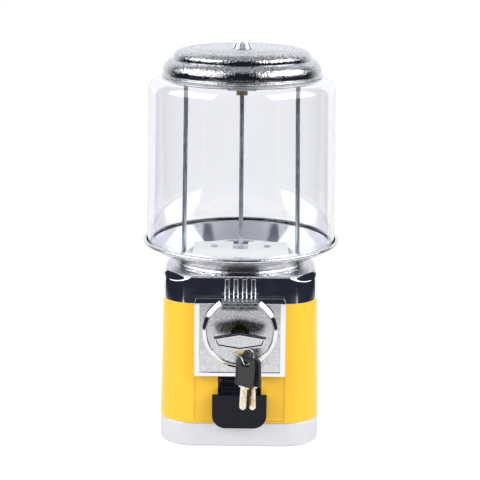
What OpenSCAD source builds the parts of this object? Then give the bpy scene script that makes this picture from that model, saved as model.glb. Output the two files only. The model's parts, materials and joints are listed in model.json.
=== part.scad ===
// Countertop gumball machine: base, body, hopper, globe, lid and coin mechanism.
// Millimetres, +Z up, front towards -Y, origin at the middle of the base on the table.

/* [Body] */
// Half width of the base skirt at the bottom of the body
body_half = 78.2; // [78:0.1:79]
// Inward slope of the body's sides from bottom to top
body_draft = 3; // [2.5:0.1:3.2]
// Height of the silver base skirt
base_h = 24; // [22:0.5:25]
// Height of the body's top edge above the table
body_top_z = 144; // [144:0.5:145]
// Wall of the body, base and top housing
wall = 3; // [2.8:0.1:3.2]

/* [Hopper and globe] */
// Outer radius of the hopper tray's rolled rim
tray_r = 97.5; // [97:0.1:99]
// Outer radius of the globe at its lower edge
globe_r = 93.4; // [93:0.1:93.6]
// Outer radius of the globe just under its shoulder
globe_top_r = 91.5; // [90:0.1:92]
// Thickness of the globe
globe_wall = 2.8; // [2:0.1:3.2]

/* [Lid] */
// Outer radius of the lid's flange
lid_r = 78.5; // [77:0.1:80]
// Thickness of the lid
lid_wall = 2; // [1.6:0.1:2.2]

/* [Dispensing wheel] */
// Radius of one pocket, for a 25 mm ball
pocket_r = 13; // [12.8:0.1:13]
// Distance of the pockets from the wheel's centre
pocket_ring = 30; // [29.9:0.1:30.1]
// Number of pockets
pocket_count = 6; // [3:1:6]

/* [Coin mechanism] */
// Height of the handle's axis
dial_z = 119.8; // [119.6:0.1:120]
// Outer radius of the dial ring
dial_r = 36; // [35:0.5:36]
// Radial clearance of every running shaft
running = 0.05; // [0.02:0.01:0.08]

/* [Rods] */
// Radius of the centre rod and the side rods
rod_r = 2.2; // [2:0.1:2.3]
// Distance of each side rod's foot from the centre
side_rod_foot = 57; // [56.8:0.1:57.2]
// Distance of each side rod's top from the centre
side_rod_top = 54.5; // [54:0.1:55]

/* [Flap] */
// Half width of the flap's plate
flap_half = 26.4; // [25:0.1:27]
// Height of the flap's hinge axis
flap_pin_z = 67; // [66.8:0.1:67.2]

/* [Hidden] */
$fn = 96;
e = 0.01;

// body and base
corner = 44.3;
body_half_top = body_half - body_draft;
floor_z = 8;
floor_t = 3;
foot_r = 7;
foot_place = 56;
stand_bolt = 45;
stand_bolt_r = 2.75;
bolt_boss_r = 5.5;
panel_x = 43.8;
panel_depth = 0.8;
plate_back_y = -75.4;
mech_low_z = 74;

// top housing, wheel housing and tray
housing_top_z = 170.9;
well_r = 60;
well_in_r = 58;
well_flange_r = 64.4;
nut_room = 5.4;
well_floor_z = 151.7;
collar_r = 67;
tray_floor_z = 175.6;
tray_under_z = 173.1;
tray_mouth_r = 47;
rim_z = 191.4;
rim_roll = 1.9;
groove_w = 4;
groove_pitch = 8.4;

// globe, crossbar and lid
globe_z = 189.9;
globe_side_z = 339.5;
globe_shoulder = 15;
globe_top_z = globe_side_z + globe_shoulder;
neck_r = 71;
bar_z = globe_top_z;
bar_t = 3;
bar_half_w = 9;
stirrup_z = 347;
rod_lean = atan((side_rod_foot - side_rod_top) / (bar_z - tray_floor_z));
bar_rod_x = side_rod_top - tan(rod_lean) * bar_t / 2;
lid_z = globe_top_z + 0.3;
lid_top_z = 381;

// dispensing wheel, with crown teeth under its rim that the pinion turns
crown_teeth = 24;
pinion_teeth = 12;
wheel_r = 46;
wheel_top_z = 174.5;
wheel_flange_r = 56.5;
bush_r = 6;
crown_r = 52;
tooth_up = 2.8;
tooth_down = 3.6;
pinion_r = crown_r * pinion_teeth / crown_teeth;
crown_z = dial_z + pinion_r;
wheel_low_z = well_floor_z + 0.3;
crown_half = 2.05;
pinion_half = 2.05;
tooth_slope = 0.30;

// coin mechanism, front to back along Y
bar_front_y = -112;
bar_back_y = -106;
bush_front_y = -91;
disc_front_y = -88;
disc_back_y = -86.6;
plate_front_y = -84;
ratchet_y = -72;
back_plate_y = -60;
pinion_front_y = -55;
pinion_back_y = -49;
shaft_back_y = -46.5;
shaft_r = 4;
post_x = 34;
post_low_z = 94;
post_high_z = 129.5;
pawl_x = 26;
pawl_z = 127;
ratchet_teeth = 12;
ratchet_r = 18;

// chute and flap
chute_half = 20.3;
chute_t = 1.8;
drop_r = 14.5;
flap_pin_y = -73;
flap_pin_r = 1.5;
flap_front_y = -87.5;
flap_back_y = -84.5;

// keys
ring_wire = 0.6;
ring_steps = 4;
ring_sides = 8;
key_t = 2.8;
stud_z = 108.1;
// turn of the hanging keys about the vertical, square to the ring's wire
key_yaw = -33;
// route of the ring: over the stud behind the handle, and down through both keys
ring_route = [[0.4, -103, 111.9], [3.9, -103, 110.9], [8, -103, 108.4], [12.2, -102.8, 105.2],
    [13.3, -102.8, 101.2], [11.4, -104.4, 96.6], [7.8, -108.6, 94.4], [4.8, -113.6, 96],
    [2.4, -114.4, 100.8], [0.8, -111.4, 103.4], [-1.6, -106.4, 102.6], [-3.6, -103.6, 103.8],
    [-4.5, -103, 107.2], [-3, -103, 110.5]];

// ---- helpers ----

// Points of an arc about (cx, cy), from angle a0 to a1, with n steps
function arc(cx, cy, rx, ry, a0, a1, n = 8) =
    [for (i = [0 : n]) let (a = a0 + (a1 - a0) * i / n) [cx + rx * cos(a), cy + ry * sin(a)]];

// Half width of the body's outside at height z
function body_at(z) = body_half - body_draft * (z - base_h) / (body_top_z - base_h);

// A cylinder along Y from y0 to y1, at x and z
module ycyl(r, y0, y1, x = 0, z = 0) {
    translate([x, y0, z]) rotate([-90, 0, 0]) cylinder(r = r, h = y1 - y0);
}

// A cylinder along X from x0 to x1, at y and z
module xcyl(r, x0, x1, y, z) {
    translate([x0, y, z]) rotate([0, 90, 0]) cylinder(r = r, h = x1 - x0);
}

// A cylinder along Z from z0 to z1
module zcyl(r, z0, z1, x = 0, y = 0) {
    translate([x, y, z0]) cylinder(r = r, h = z1 - z0);
}

// A box from one corner to the opposite one
module box(low, high) {
    translate(low) cube(high - low);
}

// A hexagonal nut along Z with a hole
module hex_nut(across, z0, z1, hole_r) {
    difference() {
        translate([0, 0, z0]) cylinder(r = across / sqrt(3), h = z1 - z0, $fn = 6);
        zcyl(hole_r, z0 - 1, z1 + 1);
    }
}

// A rounded square block that narrows from half width h0 at z0 to h1 at z1
module block(z0, z1, h0, h1) {
    side = [[-h0, z0], [h0, z0], [h1, z1], [-h1, z1]];
    translate([0, corner, 0]) rotate([90, 0, 0]) linear_extrude(2 * corner) polygon(side);
    rotate([0, 0, 90]) translate([0, corner, 0]) rotate([90, 0, 0])
        linear_extrude(2 * corner) polygon(side);
    for (x = [-corner, corner], y = [-corner, corner])
        translate([x, y, z0]) cylinder(r1 = h0 - corner, r2 = h1 - corner, h = z1 - z0);
}

// ---- base and body ----

module base_pan() {
    lip = body_at(base_h) - wall - 0.2;
    color("gainsboro") difference() {
        union() {
            difference() {
                union() {
                    block(1, base_h, body_half + 0.1, body_half);
                    block(base_h - 1, base_h + 3, lip, lip);
                }
                block(0, floor_z, body_half - wall, body_half - wall);
                block(floor_z + floor_t, base_h + 4, lip - 2, lip - 2);
            }
            for (x = [-stand_bolt, stand_bolt], y = [-stand_bolt, stand_bolt])
                zcyl(bolt_boss_r, 1, floor_z + 1, x, y);
        }
        zcyl(rod_r + 0.3, 0, base_h);
        for (x = [-stand_bolt, stand_bolt], y = [-stand_bolt, stand_bolt])
            zcyl(stand_bolt_r, 0, base_h, x, y);
    }
}

module rubber_feet() {
    color("dimgray") for (x = [-foot_place, foot_place], y = [-foot_place, foot_place])
        translate([x, y, 0]) cylinder(r1 = foot_r - 1, r2 = foot_r, h = floor_z);
}

module body_shell() {
    face = -body_at(base_h) + panel_depth;
    face_top = -body_at(mech_low_z) + panel_depth;
    color([1, 0.8, 0.25]) difference() {
        block(base_h, body_top_z, body_half, body_half_top);
        block(base_h - e, body_top_z + e, body_half - wall, body_half_top - wall);
        translate([-panel_x, 0, 0]) rotate([90, 0, 90]) linear_extrude(2 * panel_x)
            polygon([[-90, base_h + 2], [face, base_h + 2], [face_top, mech_low_z], [-90, mech_low_z]]);
        box([-panel_x, -90, mech_low_z - 0.2], [panel_x, plate_back_y, body_top_z + 1]);
        box([-chute_half - 0.5, -90, 31], [chute_half + 0.5, -60, 71.8]);
        box([-39.5, -90, 84], [39.5, -60, body_top_z - 6]);
    }
}

// ---- hopper ----

module top_housing() {
    band_top = body_half_top - 0.8;
    lip = body_half_top - wall - 0.3;
    color("silver") difference() {
        intersection() {
            union() {
                block(body_top_z, housing_top_z - 1.6, body_half_top, band_top);
                block(housing_top_z - 1.6, housing_top_z, band_top, band_top - 1.6);
                block(body_top_z - 4, body_top_z + 1, lip, lip);
            }
            cylinder(r1 = 257.7, r2 = 67.7, h = 190);
        }
        block(body_top_z + 1, housing_top_z - 3, lip - 0.2, lip - 0.6);
        block(body_top_z - 5, body_top_z + 1.1, lip - 2, lip - 2);
        zcyl(well_r + 0.4, housing_top_z - 4, housing_top_z + 1);
        for (i = [-1.5 : 1 : 1.5]) {
            box([i * groove_pitch - groove_w / 2, -90, 152], [i * groove_pitch + groove_w / 2, -73, 168]);
            ycyl(groove_w / 2, -90, -73, i * groove_pitch, 152);
        }
        box([-39.5, -73, body_top_z - 5], [39.5, -60, body_top_z + 1]);
        for (x = [-side_rod_foot, side_rod_foot]) zcyl(nut_room, 166, 180, x);
    }
}

module wheel_housing() {
    trough_in = 47;
    color("lightgray") difference() {
        rotate_extrude() polygon([[bush_r - 3.7, 147.8], [44.6, 147.8], [44.6, 138], [well_r, 138],
            [well_r, housing_top_z], [well_flange_r, housing_top_z], [well_flange_r, tray_under_z],
            [well_in_r, tray_under_z], [well_in_r, 140.5], [trough_in, 140.5],
            [trough_in, well_floor_z], [bush_r - 3.7, well_floor_z]]);
        zcyl(pocket_r, 140, 160, 0, -pocket_ring);
        box([-28, -62, 130], [28, -47.6, 149.2]);
        for (x = [-side_rod_foot, side_rod_foot]) zcyl(nut_room, 166, 180, x);
    }
}

module tray() {
    ridge_r = [47.6, 50.2, 52.8];
    color("silver") difference() {
        union() {
            rotate_extrude() polygon(concat(
                [[tray_mouth_r, tray_under_z], [65, tray_under_z], [65, housing_top_z + 0.1],
                 [collar_r, housing_top_z + 0.1], [collar_r, 173.6], [70, 175.6], [91.5, 187],
                 [95.6, rim_z - rim_roll]],
                [[95.6, rim_z], [93.9, rim_z], [93.9, globe_z], [88, globe_z],
                 [57, tray_floor_z], [tray_mouth_r, tray_floor_z]]));
            rotate_extrude() translate([tray_r - rim_roll, rim_z]) circle(rim_roll);
            rotate_extrude() for (r = ridge_r)
                translate([r, tray_floor_z - 0.5]) square([1.6, 1.7]);
        }
        for (x = [-side_rod_foot, side_rod_foot]) zcyl(rod_r + 0.35, 170, 190, x);
    }
}

module globe() {
    t = globe_wall;
    color([0.85, 0.9, 1, 0.3]) rotate_extrude() polygon(concat(
        [[globe_r, globe_z]],
        arc(globe_top_r - globe_shoulder, globe_side_z, globe_shoulder, globe_shoulder, 0, 90, 9),
        [[neck_r, globe_top_z], [neck_r, globe_top_z - t]],
        arc(globe_top_r - globe_shoulder, globe_side_z, globe_shoulder - t, globe_shoulder - t, 90, 0, 9),
        [[globe_r - t, globe_z]]));
}

// ---- rods and crossbar ----

module centre_rod() {
    color("slategray") zcyl(rod_r, 3.2, stirrup_z + 2.4);
}

module base_nut() {
    color("silver") hex_nut(8, 3.4, 6.9, rod_r);
}

module base_washer() {
    color("silver") difference() {
        zcyl(7, 6.9, floor_z);
        zcyl(rod_r, 6, floor_z + 1);
    }
}

module brass_nut() {
    color("goldenrod") hex_nut(9.8, 337.5, stirrup_z, rod_r);
}

// One side rod and its direction: s is -1 on the left and 1 on the right
module side_rod(s) {
    rod_low = tray_under_z - 5;
    rod_high = bar_z + bar_t + 4.6;
    color("slategray") translate([s * side_rod_foot, 0, tray_floor_z]) rotate([0, -s * rod_lean, 0])
        translate([0, 0, rod_low - tray_floor_z]) cylinder(r = rod_r, h = rod_high - rod_low);
}

module side_rod_left() {
    side_rod(-1);
}

module side_rod_right() {
    side_rod(1);
}

module rod_nuts() {
    color("silver") for (s = [-1, 1]) {
        translate([s * side_rod_foot, 0, 0]) hex_nut(7.6, tray_under_z - 3.4, tray_under_z, rod_r + 0.1);
        translate([s * bar_rod_x, 0, 0]) hex_nut(7.6, bar_z + bar_t, bar_z + bar_t + 3.4, rod_r + 0.1);
    }
}

module crossbar() {
    color("lightsteelblue") difference() {
        union() {
            box([-75, -bar_half_w, bar_z], [75, bar_half_w, bar_z + bar_t]);
            for (x = [-14, 12]) box([x, -bar_half_w, stirrup_z], [x + 2, bar_half_w, bar_z + 1]);
            box([-14, -bar_half_w, stirrup_z], [14, bar_half_w, stirrup_z + 2.4]);
        }
        box([-12, -4.2, bar_z - 1], [12, 4.2, bar_z + bar_t + 1]);
        zcyl(rod_r, stirrup_z - 1, stirrup_z + 3);
        for (x = [-bar_rod_x, bar_rod_x]) zcyl(rod_r + 0.3, bar_z - 1, bar_z + bar_t + 1, x);
    }
}

// ---- lid and lock ----

// Outline of the lid, drawn inwards by t
function lid_line(t) = concat(
    [[lid_r - t, lid_z], [lid_r - t, lid_z + 2.6 - t / 3]],
    arc(66.6, 360.2, 11.1 - t, 11.1 - t, 0, 90, 7),
    arc(52.4, 372.6, 14.4 - t, 8.4 - t, 0, 90, 8));

module lid() {
    inner = lid_line(lid_wall);
    color("silver") difference() {
        rotate_extrude() polygon(concat([[0, lid_z]], lid_line(0), [[0, lid_top_z]]));
        rotate_extrude() polygon(concat([[0, lid_z - 1]], [[lid_r - lid_wall, lid_z - 1]], inner,
            [[0, lid_top_z - lid_wall]]));
        rotate_extrude() translate([49.6, lid_top_z - 0.5]) square([0.9, 1]);
        zcyl(6.1, 370, 390);
    }
}

module lock_barrel() {
    color("silver") difference() {
        union() {
            translate([0, 0, lid_top_z]) cylinder(r1 = 10, r2 = 6.8, h = 5.3);
            zcyl(6.1, 366, lid_top_z + 1);
        }
        zcyl(4.3 + running, 368, 390);
        zcyl(2.8 + running, 360, 370);
    }
}

module lock_nut() {
    color("silver") hex_nut(17, lid_top_z - lid_wall - 4, lid_top_z - lid_wall, 6.1);
}

module lock_plug() {
    color("gray") difference() {
        union() {
            zcyl(4.3, 368.1, 385.9);
            zcyl(2.8, 351, 369);
            box([-11, -3.2, 350.6], [11, 3.2, 353.6]);
        }
        box([-2.7, -0.6, 376], [2.7, 0.6, 390]);
    }
}

// ---- dispensing wheel and cover ----

module dispensing_wheel() {
    tip_z = crown_z - tooth_up;
    root_z = crown_z + tooth_down;
    color("whitesmoke") difference() {
        union() {
            difference() {
                union() {
                    zcyl(wheel_r, wheel_low_z, wheel_top_z);
                    zcyl(wheel_flange_r, wheel_low_z, wheel_low_z + 3.4);
                    zcyl(wheel_flange_r, root_z, wheel_low_z + 1);
                }
                zcyl(47.4, root_z - 1, wheel_low_z);
            }
            for (i = [0 : crown_teeth - 1]) rotate([0, 0, (i + 0.5) * 360 / crown_teeth])
                translate([0, -48.4, 0]) rotate([90, 0, 0]) linear_extrude(7.6) polygon([
                    [-crown_half + tooth_slope * tooth_up, tip_z],
                    [crown_half - tooth_slope * tooth_up, tip_z],
                    [crown_half + tooth_slope * tooth_down, root_z + 0.5],
                    [-crown_half - tooth_slope * tooth_down, root_z + 0.5]]);
        }
        zcyl(bush_r + running, 140, 180);
        for (i = [0 : pocket_count - 1]) rotate([0, 0, i * 360 / pocket_count])
            zcyl(pocket_r, 140, 180, 0, -pocket_ring);
    }
}

module wheel_bush() {
    color("tan") difference() {
        zcyl(bush_r, well_floor_z, wheel_top_z + 0.5);
        zcyl(rod_r + 0.05, 150, 180);
    }
}

module cover_plate() {
    low = 178.4;
    top = 181.4;
    back = 27;
    color("ivory") difference() {
        union() {
            intersection() {
                box([-47.5, -60, low], [47.5, back, top]);
                zcyl(55.5, low, top);
            }
            intersection() {
                box([-47.5, -60, 176.8], [47.5, back, low + 1]);
                difference() {
                    zcyl(55.5, 176.8, low + 1);
                    zcyl(48.6, 170, low + 2);
                }
            }
        }
        box([-7.6, -3.4, 170], [7.6, back + 10, 190]);
        for (x = [-26.6, 26.6]) zcyl(1.5, 170, 190, x, 4.8);
    }
}

module cover_screws() {
    color("steelblue") for (x = [-26.6, 26.6]) difference() {
        union() {
            zcyl(3.1, 181.4, 183, x, 4.8);
            zcyl(1.5, 176, 182, x, 4.8);
        }
        box([x - 2.4, 4.4, 182.3], [x + 2.4, 5.2, 184]);
    }
}

module brush_strips() {
    color("dimgray") for (x = [-36, 9]) difference() {
        union() {
            box([x, 1.8, 176], [x + 27, 7.8, 178.4]);
            box([x + 1, 3.8, 174.9], [x + 26, 5.8, 176.5]);
        }
        zcyl(1.5, 175.5, 180, x < 0 ? -26.6 : 26.6, 4.8);
    }
}

// ---- coin mechanism ----

module mech_plate() {
    half = 43.8;
    high = 148.3;
    color("silver") difference() {
        union() {
            box([-half, -82.4, mech_low_z], [half, plate_back_y, high]);
            box([-half + 1.6, plate_front_y, mech_low_z + 1.6], [half - 1.6, -82, high - 1.6]);
            box([-half + 2, plate_front_y + 1.4, high - 1], [half - 2, plate_back_y, high + 3.2]);
        }
        box([-38.6, -90, 77.8], [38.6, plate_front_y + 1.2, 146]);
        box([-38.6, -80.4, 77.8], [38.6, -70, 145]);
        ycyl(dial_r + 0.05, -90, plate_front_y + 1.2, 0, dial_z);
        ycyl(10, -90, -70, 0, dial_z);
        box([-14, -90, 88], [14, -70, 101]);
    }
}

module dial_ring() {
    inner = 31.4;
    color("silver") difference() {
        translate([0, -82.8, dial_z]) rotate([90, 0, 0]) rotate_extrude()
            polygon([[inner, 0], [dial_r, 0], [dial_r, 4.4], [inner + 1.2, 7.2], [inner, 6.6]]);
        box([-13.6, -86.6, dial_z + 20], [13.6, -84, dial_z + 40]);
        box([-18.4, -100, 141.4], [18.4, -80, 160]);
    }
}

module dial_disc() {
    color("silver") difference() {
        ycyl(31.35, disc_front_y, disc_back_y, 0, dial_z);
        ycyl(6.2, -90, -80, 0, dial_z);
        box([-18.4, -100, 141.4], [18.4, -80, 160]);
    }
}

module coin_hood() {
    hood_half = 17.6;
    hood_back = -86.8;
    color("silver") difference() {
        union() {
            box([-hood_half, -95, 147.4], [hood_half, hood_back, 151.6]);
            box([-hood_half + 1, -93.2, 141.8], [hood_half - 1, hood_back, 148]);
            box([-hood_half, hood_back - 2, 150.6], [hood_half, -84.2, 152]);
        }
        box([-13.4, -86.7, 140], [13.4, -84.5, 160]);
        box([-13, -96, 144.4], [13, -92.6, 146]);
    }
}

module brass_bush() {
    color("goldenrod") difference() {
        union() {
            ycyl(8.7, bush_front_y, disc_front_y, 0, dial_z);
            ycyl(6.2, disc_front_y - 0.5, disc_back_y, 0, dial_z);
        }
        ycyl(shaft_r + running, -100, -80, 0, dial_z);
    }
}

module handle() {
    tip = 24.6;
    top = [[-tip, 1.1], [0, 5.9], [tip, 1.1]];
    low = [[tip - 2.6, -7.3], [0, -11.2], [-tip + 2.6, -7.3]];
    skin = 1.7;
    hollow = [[-tip + 5, -0.6], [0, 3.9], [tip - 5, -0.6], [tip - 6, -6.2], [0, -9.2], [-tip + 6, -6.2]];
    color("silver") difference() {
        union() {
            translate([0, bar_back_y, dial_z]) rotate([90, 0, 0])
                linear_extrude(bar_back_y - bar_front_y) polygon(concat(top, low));
            ycyl(5, bar_back_y - 1, bush_front_y - 0.3, 0, dial_z);
        }
        difference() {
            translate([0, bar_back_y + 1, dial_z]) rotate([90, 0, 0])
                linear_extrude(bar_back_y - bar_front_y + 1 - skin) polygon(hollow);
            ycyl(5, bar_front_y, bar_back_y + 2, 0, dial_z);
        }
        ycyl(shaft_r, -109, -80, 0, dial_z);
    }
}

// The brass stud behind the bar's lower point, which the key ring hangs on
module key_stud() {
    back = -106;
    color("goldenrod") {
        ycyl(4.6, back, back + 1.4, 0, stud_z);
        ycyl(2.2, back, back + 5.8, 0, stud_z);
        ycyl(3.6, back + 4.6, back + 5.8, 0, stud_z);
    }
}

module mech_shaft() {
    color("gray") ycyl(shaft_r, -109, shaft_back_y, 0, dial_z);
}

module coin_carrier() {
    coin_r = 12.6;
    color("gray") difference() {
        ycyl(30.5, -86.3, -84.3, 0, dial_z);
        ycyl(shaft_r, -90, -80, 0, dial_z);
        ycyl(coin_r, -90, -80, 0, dial_z + 18.6);
        box([-coin_r, -90, dial_z + 18.6], [coin_r, -80, dial_z + 40]);
    }
}

module ratchet_wheel() {
    pitch = 360 / ratchet_teeth;
    color("gray") difference() {
        translate([0, ratchet_y + 4, dial_z]) rotate([90, 0, 0]) linear_extrude(4)
            polygon([for (i = [0 : ratchet_teeth - 1]) for (k = [0, 1])
                let (a = (i + k * 0.92) * pitch, r = k == 0 ? ratchet_r - 3.2 : ratchet_r)
                [r * cos(a), r * sin(a)]]);
        ycyl(shaft_r, -80, -60, 0, dial_z);
    }
}

module pawl() {
    color("dimgray") difference() {
        translate([0, -68.5, 0]) rotate([90, 0, 0]) linear_extrude(3) polygon([
            [14.3, 132.0], [17.6, 127.2], [23.4, 123.9], [28.6, 124.4], [29.6, 128.4],
            [27, 130.6], [22.4, 130.6]]);
        ycyl(flap_pin_r + running, -80, -60, pawl_x, pawl_z);
    }
}

module pawl_pin() {
    color("silver") {
        ycyl(flap_pin_r, -73, back_plate_y + 2.5, pawl_x, pawl_z);
        ycyl(2.6, -73.8, -73, pawl_x, pawl_z);
    }
}

module pawl_spring() {
    color("silver") {
        difference() {
            ycyl(3, -67.8, -61, pawl_x, pawl_z);
            ycyl(1.9, -70, -59, pawl_x, pawl_z);
        }
        ycyl(0.4, -71.4, -67.4, pawl_x + 2.5, pawl_z + 4.6);
        box([pawl_x + 2.1, -68, pawl_z + 1], [pawl_x + 2.9, -67.2, pawl_z + 4.9]);
    }
}

module mech_back_plate() {
    color("lightsteelblue") difference() {
        box([-38, back_plate_y, 88], [38, back_plate_y + 2.5, 134.5]);
        ycyl(shaft_r + running, -70, -50, 0, dial_z);
        ycyl(flap_pin_r, -70, -50, pawl_x, pawl_z);
        for (x = [-post_x, post_x], z = [post_low_z, post_high_z]) ycyl(1.5, -70, -50, x, z);
    }
}

module mech_spacers() {
    color("silver") for (x = [-post_x, post_x], z = [post_low_z, post_high_z]) difference() {
        ycyl(3, -80.4, back_plate_y, x, z);
        ycyl(1.5, -68, -50, x, z);
    }
}

module mech_screws() {
    color("steelblue") for (x = [-post_x, post_x], z = [post_low_z, post_high_z]) {
        ycyl(1.5, -67, back_plate_y + 2.5, x, z);
        ycyl(2.8, back_plate_y + 2.5, back_plate_y + 4.3, x, z);
    }
}

module drive_pinion() {
    pitch = 360 / pinion_teeth;
    tip = pinion_r + tooth_up;
    root = pinion_r - tooth_down;
    color("whitesmoke") difference() {
        union() {
            ycyl(root + 0.4, pinion_front_y, pinion_back_y, 0, dial_z);
            for (i = [0 : pinion_teeth - 1])
                translate([0, pinion_back_y, dial_z]) rotate([90, i * pitch, 0])
                    linear_extrude(pinion_back_y - pinion_front_y) polygon([
                        [-pinion_half - tooth_slope * tooth_down, root],
                        [pinion_half + tooth_slope * tooth_down, root],
                        [pinion_half, pinion_r],
                        [pinion_half - 1.1, tip],
                        [-pinion_half + 1.1, tip],
                        [-pinion_half, pinion_r]]);
        }
        ycyl(shaft_r, -60, -40, 0, dial_z);
    }
}

module shaft_clip() {
    color("silver") difference() {
        ycyl(6, -48.8, -47.9, 0, dial_z);
        ycyl(shaft_r, -50, -46, 0, dial_z);
        box([-2.4, -50, dial_z - 8], [2.4, -46, dial_z - 2]);
    }
}

// ---- chute and flap ----

module chute() {
    t = chute_t;
    outside = [[-14.6, 56], [-14.6, 90], [-45.3, 90], [-45.3, 79], [-62, 72.6], [-76.2, 71.4],
        [-76.2, 32.2], [-30, 49]];
    inside = [[-14.6 - t, 60], [-14.6 - t, 90 - t], [-45.3 + t, 90 - t], [-45.3 + t, 80],
        [-62, 70.8], [-80, 69.8], [-80, 32.6], [-30.4, 51]];
    color([0.12, 0.13, 0.16]) difference() {
        union() {
            translate([-chute_half, 0, 0]) rotate([90, 0, 90]) linear_extrude(2 * chute_half)
                polygon(outside);
            zcyl(drop_r, 89, 147.7, 0, -pocket_ring);
        }
        translate([-chute_half + t, 0, 0]) rotate([90, 0, 90]) linear_extrude(2 * (chute_half - t))
            polygon(inside);
        zcyl(drop_r - 1.4, 70, 150, 0, -pocket_ring);
        xcyl(flap_pin_r, -30, 30, flap_pin_y, flap_pin_z);
    }
}

module chute_flap() {
    r = 13;
    neck_half = 17.8;
    color([0.12, 0.13, 0.16]) difference() {
        union() {
            translate([0, flap_back_y, 0]) rotate([90, 0, 0])
                linear_extrude(flap_back_y - flap_front_y) union() {
                    translate([-flap_half, 22 + r]) square([2 * flap_half, 34.2 - r]);
                    translate([-flap_half + r, 22]) square([2 * (flap_half - r), r + 1]);
                    for (x = [-flap_half + r, flap_half - r]) translate([x, 22 + r]) circle(r);
                }
            translate([-neck_half, 0, 0]) rotate([90, 0, 90]) linear_extrude(2 * neck_half)
                polygon([[-85, 50], [-85, 56.2], [-80.6, 58.4], [-80.6, 62], [-76.6, 64.6],
                    [-74, 69], [-71.4, 66.4], [-74.4, 61.4], [-77.6, 58.8], [-81.8, 50]]);
            xcyl(3, -neck_half, neck_half, flap_pin_y, flap_pin_z);
        }
        xcyl(flap_pin_r + running, -30, 30, flap_pin_y, flap_pin_z);
    }
}

module flap_pin() {
    color("silver") xcyl(flap_pin_r, -chute_half, chute_half, flap_pin_y, flap_pin_z);
}

// ---- keys ----

// Middle of the ring's wire at u, counted in stretches of its route, on a smooth closed curve
function ring_point(u) = let (
    n = len(ring_route),
    i = floor(u),
    t = u - i,
    a = ring_route[(i + n - 1) % n],
    b = ring_route[(i + n) % n],
    c = ring_route[(i + 1) % n],
    d = ring_route[(i + 2) % n])
    b + t * (c - a) / 2 + t * t * (a - 2.5 * b + 2 * c - d / 2)
    + t * t * t * (-a + 3 * b - 3 * c + d) / 2;

module key_ring() {
    count = len(ring_route) * ring_steps;
    points = [for (i = [0 : count - 1]) let (
        u = i / ring_steps,
        p = ring_point(u),
        d = ring_point(u + 0.02) - ring_point(u + len(ring_route) - 0.02),
        v = cross(d, [0, 1, 0]) / norm(cross(d, [0, 1, 0])),
        w = cross(d, v) / norm(d))
        for (k = [0 : ring_sides - 1])
            p + ring_wire * (v * cos(k * 360 / ring_sides) + w * sin(k * 360 / ring_sides))];
    faces = [for (i = [0 : count - 1], k = [0 : ring_sides - 1]) let (
        j = (i + 1) % count,
        m = (k + 1) % ring_sides)
        [i * ring_sides + k, j * ring_sides + k, j * ring_sides + m, i * ring_sides + m]];
    color("silver") polyhedron(points, faces);
}

// A key's plastic head: the origin is where the ring's wire passes through its slot
module key_head() {
    difference() {
        union() {
            box([-10, 0, -22.8], [10, key_t, 0.2]);
            box([-5.2, 0, -22.8], [5.2, key_t, 5]);
            for (x = [-5.2, 5.2]) ycyl(4.8, 0, key_t, x, 0.2);
        }
        box([-4.4, -1, -2.8], [4.4, key_t + 1, 2.8]);
    }
}

module key_blade() {
    blade_t = 1.8;
    y0 = (key_t - blade_t) / 2;
    y1 = y0 + blade_t;
    difference() {
        union() {
            box([-3.4, y0, -43.1], [3.4, y1, -22.8]);
            ycyl(3.4, y0, y1, 0, -43.1);
            box([-5.4, y0, -24.4], [5.4, y1, -22.8]);
        }
        ycyl(0.8, -1, key_t + 1, -1.2, -35);
    }
}

module key_a_place() {
    translate([5, -112.4, 96]) rotate([0, 0, key_yaw]) rotate([0, 4, 0]) children();
}

module key_b_place() {
    translate([10.4, -108.9, 95.8]) rotate([0, 0, key_yaw]) rotate([0, -2, 0]) children();
}

module key_a_head() {
    color([0.15, 0.15, 0.17]) key_a_place() key_head();
}

module key_a_blade() {
    color("wheat") key_a_place() key_blade();
}

module key_b_head() {
    color([0.15, 0.15, 0.17]) key_b_place() key_head();
}

module key_b_blade() {
    color("wheat") key_b_place() key_blade();
}

base_pan();
rubber_feet();
body_shell();
top_housing();
wheel_housing();
tray();
globe();
centre_rod();
base_nut();
base_washer();
brass_nut();
side_rod_left();
side_rod_right();
rod_nuts();
crossbar();
lid();
lock_barrel();
lock_nut();
lock_plug();
dispensing_wheel();
wheel_bush();
cover_plate();
cover_screws();
brush_strips();
mech_plate();
dial_ring();
dial_disc();
coin_hood();
brass_bush();
handle();
key_stud();
mech_shaft();
coin_carrier();
ratchet_wheel();
pawl();
pawl_pin();
pawl_spring();
mech_back_plate();
mech_spacers();
mech_screws();
drive_pinion();
shaft_clip();
chute();
chute_flap();
flap_pin();
key_ring();
key_a_head();
key_a_blade();
key_b_head();
key_b_blade();
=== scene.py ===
"""Looks of a countertop gumball machine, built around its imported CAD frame.

Shapes are worked out in millimetres and made in metres. Shader and stage lengths are in metres.
"""

import json
import math

import bmesh
import bpy
from mathutils import Matrix, Vector

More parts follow.
